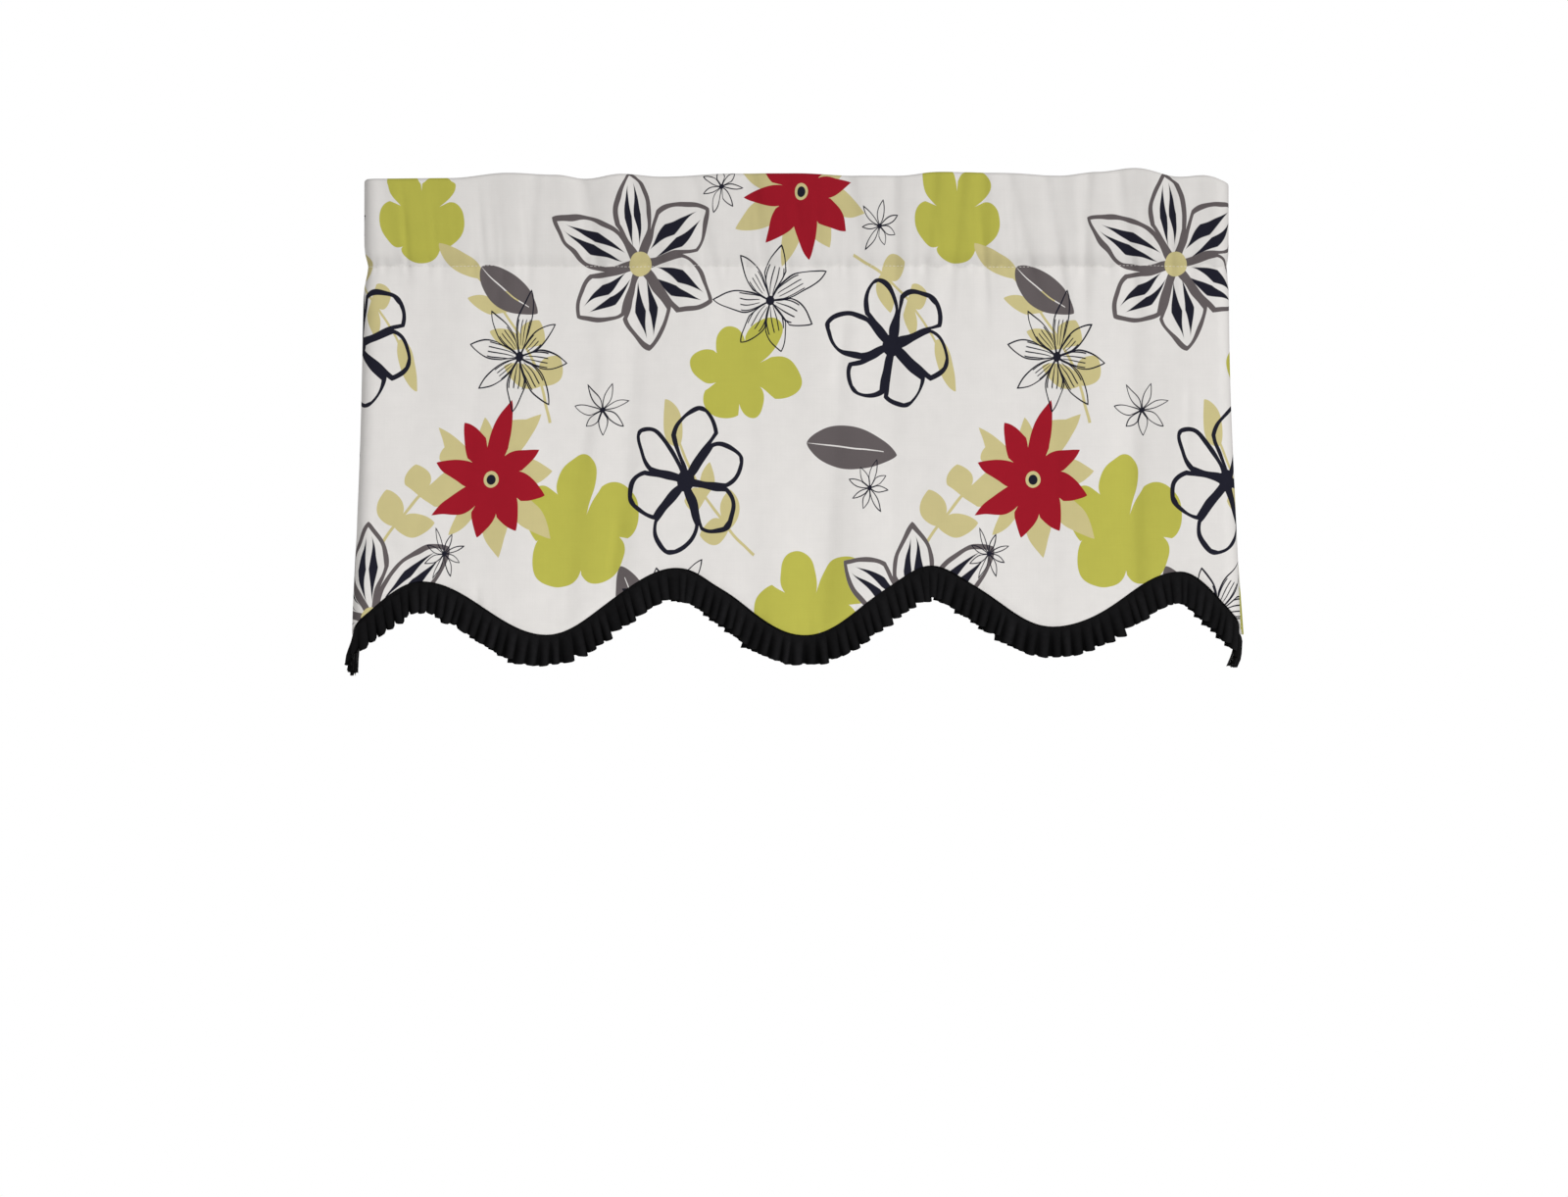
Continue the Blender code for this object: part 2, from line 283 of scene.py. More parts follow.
WAVES = [                   # way along, way down, phase, height
    (CHANCE.uniform(30, 120) * CHANCE.choice([-1, 1]), CHANCE.uniform(4, 22),
     CHANCE.uniform(0, 2 * math.pi), CHANCE.uniform(0.00005, 0.00022))
    for n in range(26)
]


def creases(along, drop):
    """Short soft creases where the cloth was folded and handled."""
    total = np.zeros_like(along)
    for a, top, b, low, width, depth in CREASES:
        share = np.clip((drop - top) / (low - top), 0, 1)
        ends = smooth(top - 0.015, top + 0.012, drop) * (1 - smooth(low - 0.006, low + 0.02, drop))
        total += depth * hump(along, a + (b - a) * share, width) * ends
    return total


def relief(along, drop):
    """All that draws the cloth in: folds, gathers, puckers, handling."""
    low = smooth(SEAM_DROP, SEAM_DROP + 0.06, drop)
    depth = fold_depth(along, drop) + seam_depth(along, drop)
    depth = depth + gathers(along, drop) + puckers(along, drop)
    for across, down, phase, height in WAVES:
        depth = depth + height * (0.35 + 0.65 * low) * np.sin(across * along + down * drop + phase)
    return depth + creases(along, drop)


# --- mesh building ---

def normals_of(grid):
    """Normals of a grid of points, rows first, facing the outside."""
    down, across = np.gradient(grid, axis=0), np.gradient(grid, axis=1)
    normal = np.cross(across, -down)
    return normal / np.maximum(np.linalg.norm(normal, axis=-1, keepdims=True), 1e-12)


def two_sided(name, outer, inner, cloth_at, slot, **values):
    """A closed sheet from its outer and inner grids. cloth_at is each point's flat place in metres."""
    rows, columns = outer.shape[:2]
    count = rows * columns
    points = np.concatenate([outer.reshape(-1, 3), inner.reshape(-1, 3)])
    index = np.arange(count).reshape(rows, columns)
    a, b, c, d = index[:-1, :-1], index[1:, :-1], index[1:, 1:], index[:-1, 1:]
    front = np.stack([a, b, c, d], -1).reshape(-1, 4)
    back = front[:, ::-1] + count
    rim = np.concatenate([index[:, 0], index[-1, 1:], index[-2::-1, -1], index[0, -2:0:-1]])
    after = np.roll(rim, -1)
    edge = np.stack([rim, rim + count, after + count, after], -1)
    faces = np.concatenate([front, back, edge])
    mesh = bpy.data.meshes.new(name)
    mesh.from_pydata(points.tolist(), [], faces.tolist())
    mesh.update()
    corners = np.empty(len(mesh.loops), np.int32)
    mesh.loops.foreach_get("vertex_index", corners)
    flat = np.tile(cloth_at.reshape(-1, 2), (2, 1))
    side = np.repeat([0.0, 1.0], count)
    write_uv(mesh, "cloth", flat[corners])
    # To bake, the outer side lies in the square's upper half, the inner in its lower, the rim between
    unit = (flat - flat.min(0)) / (flat.max(0) - flat.min(0))
    baked = np.stack([0.004 + 0.992 * unit[:, 0], 0.504 - 0.5 * side + 0.492 * unit[:, 1]], -1)[corners]
    step = 1 / len(rim)
    start = np.arange(len(rim)) * step
    round_rim = np.stack([start, start, start + step, start + step], -1)
    baked[-4 * len(rim):, 0] = 0.004 + 0.992 * round_rim.ravel()
    baked[-4 * len(rim):, 1] = np.tile([0.4988, 0.5012, 0.5012, 0.4988], len(rim))
    write_uv(mesh, "OFBake", baked)
    for label, value in {"reverse": side, **values}.items():
        attribute = mesh.attributes.new(label, "FLOAT", "POINT")
        attribute.data.foreach_set("value", np.resize(np.asarray(value, np.float32).ravel(), 2 * count))
    mesh.shade_smooth()
    mesh.set_sharp_from_angle(angle=math.radians(50))
    return finish_piece(name, mesh)


def write_uv(mesh, name, places):
    layer = mesh.uv_layers.new(name=name)
    layer.uv.foreach_set("vector", np.ascontiguousarray(places, np.float32).ravel())


def finish_piece(name, mesh):
    """Puts a mesh in the scene as a piece of the valance."""
    piece = bpy.data.objects.new(name, mesh)
    bpy.context.scene.collection.objects.link(piece)
    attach(piece, "root")
    return piece


# --- the pieces ---

def along_steps():
    """Places along the rod: fine on the face, finer round the corners."""
    face = np.linspace(-STRAIGHT, STRAIGHT, 400)
    corner = np.linspace(STRAIGHT, STRAIGHT + BEND, 12)[1:]
    side = np.linspace(STRAIGHT + BEND, END, 26)[1:]
    outer = np.concatenate([corner, side])
    return np.concatenate([-outer[::-1], face, outer])


def hemmed(along):
    """1 on the double hems at the wall edges."""
    return smooth(END - SIDE_HEM - 0.0006, END - SIDE_HEM + 0.0006, np.abs(along))


def pocket_behind(along):
    """From the face to the pocket's back layer where they are sewn together."""
    return COTTON_THICK * 1.4 + 2 * SIDE_HEM_THICK * hemmed(along)


def valance_cloth():
    """The cotton from the pocket's lower edge at the back, over the rod, down to the turned hem."""
    along = along_steps()
    hem = hem_drop(along)
    top = eased(TOP_EDGE, along)
    against = pocket_behind(along)
    rows, flat = [], []

    def add(points, length):
        rows.append(points)
        flat.append(np.stack([along * FULLNESS, np.broadcast_to(length, along.shape)], -1))

    # Up the pocket's back, close together where it is sewn
    sewn = np.linspace(SEAM_DROP + TURNING, ROD_LOW - 0.002, 9)
    for drop in (*sewn, 0.050, 0.034, 0.018):
        near = smooth(ROD_LOW - 0.004, SEAM_DROP - 0.001, drop)
        inward = POCKET_DEPTH + (against - POCKET_DEPTH) * near
        drops = np.full_like(along, drop)
        drawn = relief(along, drops) * (0.25 + 0.75 * near)
        add(place(along, drops, inward + drawn)[0], -drop - CROWN_EXTRA)
    # Over the rod's two edges
    reach = TOP_RUN + ROD_EDGE * math.pi / 2
    for way in -reach * np.cos(np.linspace(0, math.pi, 15)):
        bend = max(abs(way) - TOP_RUN, 0) / ROD_EDGE
        aside = min(abs(way), TOP_RUN) + ROD_EDGE * math.sin(bend)
        inward = POCKET_DEPTH / 2 - math.copysign(aside, way)
        low = ROD_EDGE * (1 - math.cos(bend)) + ROD_SAG * max(0.0, 1 - (way / TOP_RUN) ** 2)
        drawn = relief(along, np.full_like(along, ROD_EDGE)) * (1 - 0.75 * inward / POCKET_DEPTH)
        add(place(along, low - top, inward + drawn)[0], way)
    # Down the pocket's front, close together at the seam, and down the face
    brow = ROD_EDGE - top
    for share in (0.18, 0.42, 0.70):
        drop = brow + (0.024 - brow) * share
        add(place(along, drop, relief(along, drop))[0], drop + CROWN_EXTRA)
    pocket = np.linspace(0.024, SEAM_DROP - 0.011, 8)
    seam = np.linspace(SEAM_DROP - 0.0084, SEAM_DROP + 0.0084, 15)
    for drop in np.concatenate([pocket, seam]):
        drops = np.full_like(along, drop)
        add(place(along, drops, relief(along, drops))[0], drop + CROWN_EXTRA)
    start = SEAM_DROP + 0.011
    for share in np.linspace(0, 1, 39):
        drop = start + (hem - start) * share
        add(place(along, drop, relief(along, drop))[0], drop + CROWN_EXTRA)
    # Round the hem's fold and up its turning
    settle = relief(along, hem)
    for angle in np.linspace(0, math.pi, 5)[1:]:
        drop = hem + HEM_FOLD * math.sin(angle)
        inward = HEM_FOLD * (1 - math.cos(angle))
        add(place(along, drop, settle + inward)[0], hem + CROWN_EXTRA + HEM_FOLD * angle)
    for way in np.linspace(0, HEM_ALLOWANCE, 5)[1:]:
        drop = hem - way
        inward = 2 * HEM_FOLD + 0.00025 * way / HEM_ALLOWANCE
        add(place(along, drop, relief(along, drop) + inward)[0], hem + CROWN_EXTRA + way)
    middle = np.stack(rows)
    normal = normals_of(middle)
    thick = np.full(middle.shape[:2], COTTON_THICK / 2)
    inner = thick + SIDE_HEM_THICK * hemmed(along)
    inner[-5:] = COTTON_THICK / 2
    cloth = two_sided(
        "valance_cloth",
        middle + normal * thick[..., None],
        middle - normal * inner[..., None],
        np.stack(flat),
        "printed_cotton",
    )
    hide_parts("valance_face", "rod_pocket")
    return cloth


def hem_marks():
    """Where each pleat ends along the hem, a little unevenly, and the hem's drop there."""
    fine = np.linspace(-END, END, 4001)
    drop = hem_drop(fine)
    step = np.hypot(np.diff(fine), np.diff(drop))
    length = np.concatenate([[0], np.cumsum(step)])
    count = round(length[-1] / PLEAT_PITCH)
    marks = np.arange(count + 1) * length[-1] / count
    marks[1:-1] += CHANCE.normal(0, 0.0009, count - 1)
    ends = np.interp(marks, length, fine)
    return ends, hem_drop(ends)


def pleated_trim():
    """Knife pleats, each folded back under itself, that open a little towards their lower edge."""
    ends, drops = hem_marks()
    run, fall = np.diff(ends), np.diff(drops)
    calm = np.clip((END - np.abs(ends[:-1] + run / 2)) / END_CALM, 0, 1)
    slope = np.arctan2(fall, run) * PLEAT_FOLLOW * calm
    count = len(run)
    loose = 1 - smooth(LOOSE_TO, NEAT_FROM, ends[:-1])
    slack = 1 + 0.5 * loose
    opening = CHANCE.uniform(0.0032, 0.0056, count) * (1 + 0.3 * loose)
    swing = CHANCE.normal(0, 0.0005, count) * slack
    wander = np.convolve(CHANCE.normal(0, 0.0012, count + 8), np.ones(9) / 3, "valid")
    ragged = CHANCE.normal(0, 0.0007, count) * slack + 0.6 * wander
    tilt = CHANCE.normal(0, 0.13, count) * slack
    tone = CHANCE.uniform(0.72, 1.12, count)
    apart = 0.0010 + 0.0050 * loose * tone
    wide = np.hypot(run, fall)
    tucked = -(COTTON_THICK / 2 + 2 * HEM_FOLD + TRIM_THICK) - BEHIND_HEM
    levels = np.array([         # depths below the hem; 1 stands for the pleat's end
        -TRIM_TUCK, -0.004, 0.0003, 0.0030, HEADING, 0.0090, FOLDS_SHOW, 0.0170, 0.0220, 1.0,
    ])
    columns, ridges = [], []
    way_flat = 0.0
    for n in range(count):
        down = np.array([-math.sin(slope[n]), math.cos(slope[n])])
        over = np.array([math.cos(slope[n]), math.sin(slope[n])])
        middle = np.array([ends[n] + run[n] / 2, drops[n] + fall[n] / 2])
        lean = (fall[n] * over[0] - run[n] * over[1]) / wide[n]
        half = wide[n] / 2
        profile = (         # way over, share of the opening, layer
            (half - PLEAT_UNDER - wide[n] + 0.0006, 0.02, 0.0),
            (-half, 0.06, 0.0),
            (-half * 0.66, 0.40, 0.0),
            (-half * 0.28, 0.78, 0.0),
            (half * 0.15, 0.99, 0.0),
            (half * 0.55, 0.97, 0.0),
            (half * 0.86, 0.74, 0.0),
            (half, 0.52, -0.4),
            (half * 0.90, 0.34, -0.9),
            (half - PLEAT_UNDER * 0.5, 0.12, -0.6),
            (half - PLEAT_UNDER + 0.0004, 0.02, 0.35),
        )
        for over_way, share, layer in profile:
            line, raised = [], []
            rounded = apart[n] * min(1.0, abs(over_way) / half) ** 6
            end = TRIM_DEPTH + ragged[n] + tilt[n] * over_way - rounded
            for level in levels:
                depth = end if level == 1 else min(level, level * end / TRIM_DEPTH)
                opened = smooth(HEADING - 0.002, TRIM_DEPTH, depth)
                grown = 0.12 * smooth(0.0, HEADING, depth) + 0.88 * opened
                hang = max(depth, 0) / TRIM_DEPTH
                base = tucked + (0.0002 - tucked) * 0.6 * smooth(0.0004, 0.005, depth)
                at = middle + over * (over_way + swing[n] * hang * hang)
                at = at + down * (depth + lean * over_way * (1 - 0.9 * smooth(0.0, 0.8, hang)))
                rise = opening[n] * grown * share + layer * TRIM_THICK
                line.append((at[0], at[1], base + rise + hang ** 1.6 * eased(TRIM_OUT, at[0])))
                # The ridge attribute carries painted shade: low in the folds' valleys, high on their
                # ridges, with each pleat's own tone
                folded = smooth(0.002, FOLDS_SHOW, depth)
                raised.append(0.80 * (1 - folded) + share * folded * tone[n])
            columns.append(line)
            ridges.append(raised)
        way_flat += wide[n] + 2 * PLEAT_UNDER
    lines = np.array(columns).transpose(1, 0, 2)
    surface_in = relief(lines[..., 0], lines[..., 1])
    middle = place(np.clip(lines[..., 0], -END, END), lines[..., 1], surface_in - lines[..., 2])[0]
    normal = normals_of(middle)
    ways = np.arange(lines.shape[1]) * (way_flat / lines.shape[1])
    depth_at = np.where(levels < 1, levels, TRIM_DEPTH)
    ridge = np.array(ridges).T
    cloth_at = np.stack(np.broadcast_arrays(ways[None, :], depth_at[:, None]), -1)
    trim = two_sided(
        "trim_ruffle",
        middle + normal * TRIM_THICK / 2,
        middle - normal * TRIM_THICK / 2,
        cloth_at,
        "black_trim",
        ridge=ridge,
    )
    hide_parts("pleated_trim")
    return trim, way_flat


# --- stitching ---

def one_stitch():
    """A short length of thread that dips into the cloth at both ends. It lies along X, its top at +Z."""
    bpy.ops.object.select_all(action="DESELECT")
    bpy.ops.mesh.primitive_cylinder_add(
        vertices=6, radius=THREAD, depth=STITCH, rotation=(0, math.pi / 2, 0))
    stitch = bpy.context.object
    bpy.ops.object.transform_apply(location=True, rotation=True, scale=True)
    bpy.ops.object.mode_set(mode="EDIT")
    for x in (-0.3 * STITCH, 0.0, 0.3 * STITCH):
        bpy.ops.mesh.select_all(action="SELECT")
        bpy.ops.mesh.bisect(plane_co=(x, 0, 0), plane_no=(1, 0, 0))
    bpy.ops.mesh.select_all(action="DESELECT")
    bpy.ops.object.mode_set(mode="OBJECT")
    for vertex in stitch.data.vertices:
        vertex.select = abs(vertex.co.x) > 0.45 * STITCH
    bpy.ops.object.mode_set(mode="EDIT")
    bpy.ops.transform.resize(value=(0.92, 0.55, 0.55), center_override=(0, 0, 0))
    bpy.ops.transform.translate(value=(0, 0, -1.4 * THREAD))
    bpy.ops.object.mode_set(mode="OBJECT")
    return stitch


def cloth_frame(along, drop, behind):
    """Points at a distance behind the cloth's middle, and the outward normal there."""
    reach = 0.0004

    def at(a, d):
        return place(a, d, relief(a, d) + behind)[0]

    across = at(along + reach, drop) - at(along - reach, drop)
    down = at(along, drop + reach) - at(along, drop - reach)
    normal = np.cross(across, -down)
    return at(along, drop), normal / np.linalg.norm(normal, axis=1, keepdims=True)


def stitched(name, rows):
    """Rows of stitches. Each is along, drop, distance behind the middle, side, lean and length."""
    stitch = one_stitch()
    shape = np.array([vertex.co for vertex in stitch.data.vertices])
    polygons = [list(polygon.vertices) for polygon in stitch.data.polygons]
    places = np.array([corner.uv for corner in stitch.data.uv_layers[0].data])
    bpy.data.objects.remove(stitch)
    points, total = [], 0
    for along, drop, behind, side, lean, longer in rows:
        middle, normal = cloth_frame(along, drop, behind)
        way = np.gradient(middle, axis=0)
        way = way / np.linalg.norm(way, axis=1, keepdims=True)
        normal = normal * side
        beside = np.cross(normal, way)
        angle = lean + CHANCE.normal(0, 0.05, len(along))
        first = way * np.cos(angle)[:, None] + beside * np.sin(angle)[:, None]
        second = np.cross(normal, first)
        local = shape * (longer, 1, 1)
        spots = (middle[:, None] + local[None, :, :1] * first[:, None]
                 + local[None, :, 1:2] * second[:, None] + local[None, :, 2:] * normal[:, None])
        points.append(spots.reshape(-1, 3))
        total += len(along)
    size = len(shape)
    faces = [[n * size + vertex for vertex in polygon] for n in range(total) for polygon in polygons]
    mesh = bpy.data.meshes.new(name)
    mesh.from_pydata(np.concatenate(points).tolist(), [], faces)
    cells = math.ceil(math.sqrt(total))
    number = np.arange(total)
    cell = np.stack([number % cells, number // cells], -1) / cells
    write_uv(mesh, "OFBake", (cell[:, None] + (0.05 + 0.9 * places) / cells).reshape(-1, 2))
    mesh.shade_smooth()
    return finish_piece(name, mesh)


def evenly(start, end, step):
    """Places about a step apart."""
    return np.linspace(start, end, round(abs(end - start) / step))


def white_stitches():
    """The pocket's seam, front and back, the wall edges' hems, and the overlocked edge behind the hem."""
    skin = COTTON_THICK / 2 + THREAD * 0.7
    along = evenly(-END + 0.002, END - 0.002, STITCH_STEP)
    seam = seam_line(along)
    rows = [
        (along, seam, -skin, 1, 0.0, 1.0),
        (along, seam, pocket_behind(along) + skin, -1, 0.0, 1.0),
    ]
    for edge in (-1, 1):
        at = edge * (END - SIDE_HEM + 0.0020)
        drop = evenly(0.004, hem_drop(at) - 0.003, STITCH_STEP)
        rows.append((np.full_like(drop, at), drop, -skin, 1, 0.0, 1.0))
        drop = evenly(SEAM_DROP + 0.006, hem_drop(at) - HEM_ALLOWANCE - 0.003, STITCH_STEP)
        rows.append((np.full_like(drop, at), drop, skin + SIDE_HEM_THICK, -1, 0.0, 1.0))
    along = evenly(-END + 0.003, END - 0.003, 0.0026)
    allowance = 2 * HEM_FOLD + 0.00025 + skin
    rows.append((along, hem_drop(along) - HEM_ALLOWANCE + 0.0012, allowance, -1, 1.1, 1.5))
    return stitched("seam_stitches", rows)


def trim_stitches():
    """One row through the trim's pressed head, behind the hem."""
    along = evenly(-END + 0.003, END - 0.003, STITCH_STEP)
    behind = COTTON_THICK / 2 + 2 * HEM_FOLD + TRIM_THICK * 2 + 0.0013
    rows = [(along, hem_drop(along) - 0.0045, behind, -1, 0.0, 1.0)]
    return stitched("trim_stitches", rows)


# --- reckoning with shader sockets ---

class Term:
    """A value in a node tree that can be added, multiplied and so on like a number."""

    def __init__(self, socket):
        self.socket = socket
        self.tree = socket.id_data

    def of(self, operation, *others):
        node = self.tree.nodes.new("ShaderNodeMath")
        node.operation = operation
        for slot, value in zip(node.inputs, (self, *others)):
            feed(slot, value)
        return Term(node.outputs[0])

    def __add__(self, other):
        return self.of("ADD", other)

    def __sub__(self, other):
        return self.of("SUBTRACT", other)

    def __mul__(self, other):
        return self.of("MULTIPLY", other)

    def __truediv__(self, other):
        return self.of("DIVIDE", other)

    def __pow__(self, other):
        return self.of("POWER", other)

    def __neg__(self):
        return self.of("MULTIPLY", -1.0)

    def __abs__(self):
        return self.of("ABSOLUTE")


def feed(slot, value):
    """Gives a socket a value, a link, or leaves it."""
    if isinstance(value, Term):
        slot.id_data.links.new(value.socket, slot)
    elif value is not None:
        slot.default_value = value


def node_of(tree, kind, settings=None, **inputs):
    """Adds a node. Its inputs are named with _ for a space."""
    node = tree.nodes.new(kind)
    for name, value in (settings or {}).items():
        setattr(node, name, value)
    for name, value in inputs.items():
        feed(node.inputs[name.replace("_", " ")], value)
    return node


def split(tree, vector):
    return [Term(socket) for socket in node_of(tree, "ShaderNodeSeparateXYZ", Vector=vector).outputs]


def joined(tree, x, y, z=0.0):
    return Term(node_of(tree, "ShaderNodeCombineXYZ", X=x, Y=y, Z=z).outputs[0])


def noise(tree, vector, scale, detail=1.0, kind="3D"):
    settings = {"noise_dimensions": kind}
    return node_of(tree, "ShaderNodeTexNoise", settings, Vector=vector, Scale=scale, Detail=detail)


def ramp(value, low, high):
    """0 at low and 1 at high, and level beyond."""
    node = node_of(value.tree, "ShaderNodeMapRange", Value=value, From_Min=low, From_Max=high)
    return Term(node.outputs[0])


def group(name, inputs, outputs):
    """An empty node group and its named inputs: numbers, and a vector where one is the Place."""
    tree = bpy.data.node_groups.new(name, "ShaderNodeTree")
    for label in inputs:
        kind = "NodeSocketVector" if label == "Place" else "NodeSocketFloat"
        tree.interface.new_socket(label, in_out="INPUT", socket_type=kind)
    for label in outputs:
        tree.interface.new_socket(label, in_out="OUTPUT", socket_type="NodeSocketFloat")
    source = tree.nodes.new("NodeGroupInput")
    return tree, [Term(source.outputs[label]) for label in inputs]


def give(tree, **values):
    """Closes a group with its outputs' values."""
    sink = tree.nodes.new("NodeGroupOutput")
    for label, value in values.items():
        feed(sink.inputs[label], value)


def use(tree, made, **inputs):
    """Adds a made group to a tree and returns its outputs by name."""
    node = tree.nodes.new("ShaderNodeGroup")
    node.node_tree = made
    for label, value in inputs.items():
        feed(node.inputs[label], value)
    return {socket.name: Term(socket) for socket in node.outputs}


# --- the print: generic flowers and leaves ---

REPEAT = 0.515              # the print's repeat across the flat cloth, and down it
DROP_REPEAT = 0.640


def petal_group():
    """The distance inside a petal's edge. Along and Across are from its root; Widest is a share."""
    labels = ("Along", "Across", "Length", "Width", "Widest", "Round")
    tree, (along, across, length, width, widest, rounding) = group(
        "petal", labels, ("Edge", "Share", "Ratio"))
    share = (along / length).of("MAXIMUM", 0.002).of("MINIMUM", 0.998)
    power = Term(node_of(tree, "ShaderNodeMath", {"operation": "LOGARITHM"}).outputs[0])
    feed(power.socket.node.inputs[0], 0.5)
    feed(power.socket.node.inputs[1], widest)
    bent = share ** power
    wave = (bent * math.pi).of("SINE").of("MAXIMUM", 0.0005)
    half = width * wave ** rounding
    steep = half * rounding / wave * (bent * math.pi).of("COSINE")
    steep = steep * math.pi * power * bent / along.of("MAXIMUM", 0.0002)
    grade = (steep * steep + 1.0).of("SQRT")
    edge = (half - abs(across)) / grade
    edge = edge.of("MINIMUM", length - along).of("MINIMUM", along)
    give(tree, Edge=edge, Share=share, Ratio=across / half)
    return tree


def moved(tree, spot, x, y, turn, uneven, seed):
    """The place measured from a motif's middle, in every repeat, turned and drawn a little unevenly."""
    across, down = split(tree, spot)[:2]
    across = (across - x).of("WRAP", REPEAT / 2, -REPEAT / 2)
    down = (down - y).of("WRAP", DROP_REPEAT / 2, -DROP_REPEAT / 2)
    drift = noise(tree, joined(tree, across, down, seed), 26.0)
    push = [(Term(s) - 0.5) * uneven for s in node_of(
        tree, "ShaderNodeSeparateColor", Color=Term(drift.outputs["Color"])).outputs]
    across = across + push[0]
    down = down + push[1]
    cosine, sine = turn.of("COSINE"), turn.of("SINE")
    return across * cosine + down * sine, down * cosine - across * sine


def blossom_group(petal):
    """Petals round a middle. Edge is the way inside the nearest petal, and Line also stops where two
    petals meet. Reach is the way from the middle.
    """
    labels = (
        "Place", "X", "Y", "Turn", "Petals", "Length",
        "Width", "Widest", "Round", "Uneven", "Bend", "Seed",
    )
    tree, (spot, x, y, turn, petals, length, width, widest, rounding, uneven, bend, seed) = group(
        "blossom", labels, ("Edge", "Line", "Reach", "Share", "Ratio", "Chance"))
    over, down = moved(tree, spot, x, y, turn, uneven * 0.012, seed)
    reach = (over * over + down * down).of("SQRT")
    angle = down.of("ARCTAN2", over)
    sector = petals.of("POWER", -1.0) * (2 * math.pi)
    number = (angle / sector).of("ROUND")
    beside = angle - number * sector
    which = number.of("FLOORED_MODULO", petals)
    chances = node_of(tree, "ShaderNodeTexWhiteNoise", {"noise_dimensions": "2D"},
                      Vector=joined(tree, which, seed))
    first, second, third = [Term(s) - 0.5 for s in node_of(
        tree, "ShaderNodeSeparateColor", Color=Term(chances.outputs["Color"])).outputs]
    aside = beside + first * sector * uneven * 0.35
    own_length = length * (second * uneven * 0.55 + 1.0)
    own_width = width * (third * uneven * 0.6 + 1.0)
    along, across = reach * aside.of("COSINE"), reach * aside.of("SINE")
    across = across - (first + 0.35) * bend * along * along / length
    shape = use(tree, petal, Along=along, Across=across, Length=own_length, Width=own_width,
                Widest=widest, Round=rounding)
    between = reach * (sector / 2.0 - abs(beside)).of("SINE") + 2 * SOFT_EDGE
    give(tree, Edge=shape["Edge"], Line=shape["Edge"].of("MINIMUM", between), Reach=reach,
         Share=shape["Share"], Ratio=shape["Ratio"], Chance=third)
    return tree


def sprig_group(petal):
    """Pairs of leaves on a curved stem with one leaf at its tip."""
    labels = ("Place", "X", "Y", "Turn", "Length", "Gap", "Leaf", "Width", "Bend", "Uneven", "Seed")
    tree, (spot, x, y, turn, length, gap, leaf, width, bend, uneven, seed) = group(
        "sprig", labels, ("Edge", "Stem"))
    along, across = moved(tree, spot, x, y, turn, uneven * 0.012, seed)
    across = across - bend * along * along / length
    count = (length / gap).of("FLOOR")
    number = (along / gap).of("FLOOR").of("MAXIMUM", 1.0).of("MINIMUM", count - 1.0)
    local = along - number * gap
    shrink = (number / count).of("MULTIPLY_ADD", -0.35, 1.0)
    side = abs(across)
    shape = use(tree, petal, Along=local * 0.62 + side * 0.785, Across=side * 0.62 - local * 0.785,
                Length=leaf * shrink, Width=width * shrink, Widest=0.48, Round=0.75)
    tip = use(tree, petal, Along=along - length * 0.93, Across=across, Length=leaf, Width=width,
              Widest=0.45, Round=0.75)
    stem = (abs(across) - 0.0013).of("MAXIMUM", -along).of("MAXIMUM", along - length)
    give(tree, Edge=shape["Edge"].of("MAXIMUM", tip["Edge"]), Stem=-stem)
    return tree


def linear(red, green, blue):
    """A colour given as seen on a screen, as a shader wants it."""
    return [*(((c / 255 + 0.055) / 1.055) ** 2.4 for c in (red, green, blue)), 1.0]


GROUND = linear(226, 223, 220)
CHARTREUSE = linear(184, 181, 78)
KHAKI = linear(201, 190, 136)
RED = linear(155, 14, 34)
TAUPE = linear(97, 90, 91)
INK = linear(24, 24, 38)
BARE = linear(226, 222, 213)
WHITE_THREAD = linear(226, 223, 217)
BLACK_DYE = [0.0066, 0.0064, 0.0070, 1.0]
COTTON_WEAVE = 0.0011
TRIM_WEAVE = 0.0008
SOFT_EDGE = 0.00012
SHOW_THROUGH = 0.24         # the print's share on the cloth's bare side
DOUBLE_LAYER_SHADE = 0.945         # painted shade on the pocket, where the cloth lies double and lets less light through
TURNED_IN_SHADE = 0.040         # how much more painted shade lies over the turned-in edge at the seam
PULLED_SEAM_SHADE = 0.030         # and more painted shade where the thread draws harder

# Places and lengths are in metres on the flat cloth, widths are shares of the length
SILHOUETTES = (             # x, y, turn, petals, length, width, seed
    (0.155, 0.040, 0.3, 5, 0.050, 0.34, 1),
    (-0.205, 0.300, 0.9, 5, 0.058, 0.37, 2),
    (-0.052, 0.172, 0.1, 6, 0.050, 0.32, 3),
    (0.015, 0.372, 0.5, 5, 0.058, 0.36, 4),
    (0.215, 0.598, 0.2, 5, 0.038, 0.36, 5),
)
SPRIGS = (                  # x, y, turn, length, gap, leaf, width in metres, bend, seed
    (0.115, 0.330, -1.05, 0.150, 0.034, 0.038, 0.0125, 0.35, 1),
    (-0.235, 0.215, -1.75, 0.140, 0.033, 0.037, 0.0120, -0.40, 2),
    (-0.040, 0.325, -2.50, 0.120, 0.032, 0.034, 0.0115, 0.30, 3),
    (0.055, 0.075, 0.35, 0.105, 0.031, 0.033, 0.0110, 0.45, 4),
)
LEAVES = (                  # x, y, turn, length, width, bend, seed
    (0.010, 0.232, 0.05, 0.078, 0.22, 0.15, 1),
    (0.212, 0.085, 0.95, 0.072, 0.21, -0.18, 2),
    (-0.140, 0.400, -2.30, 0.070, 0.23, 0.12, 3),
    (0.075, 0.590, 0.25, 0.066, 0.22, 0.14, 4),
)
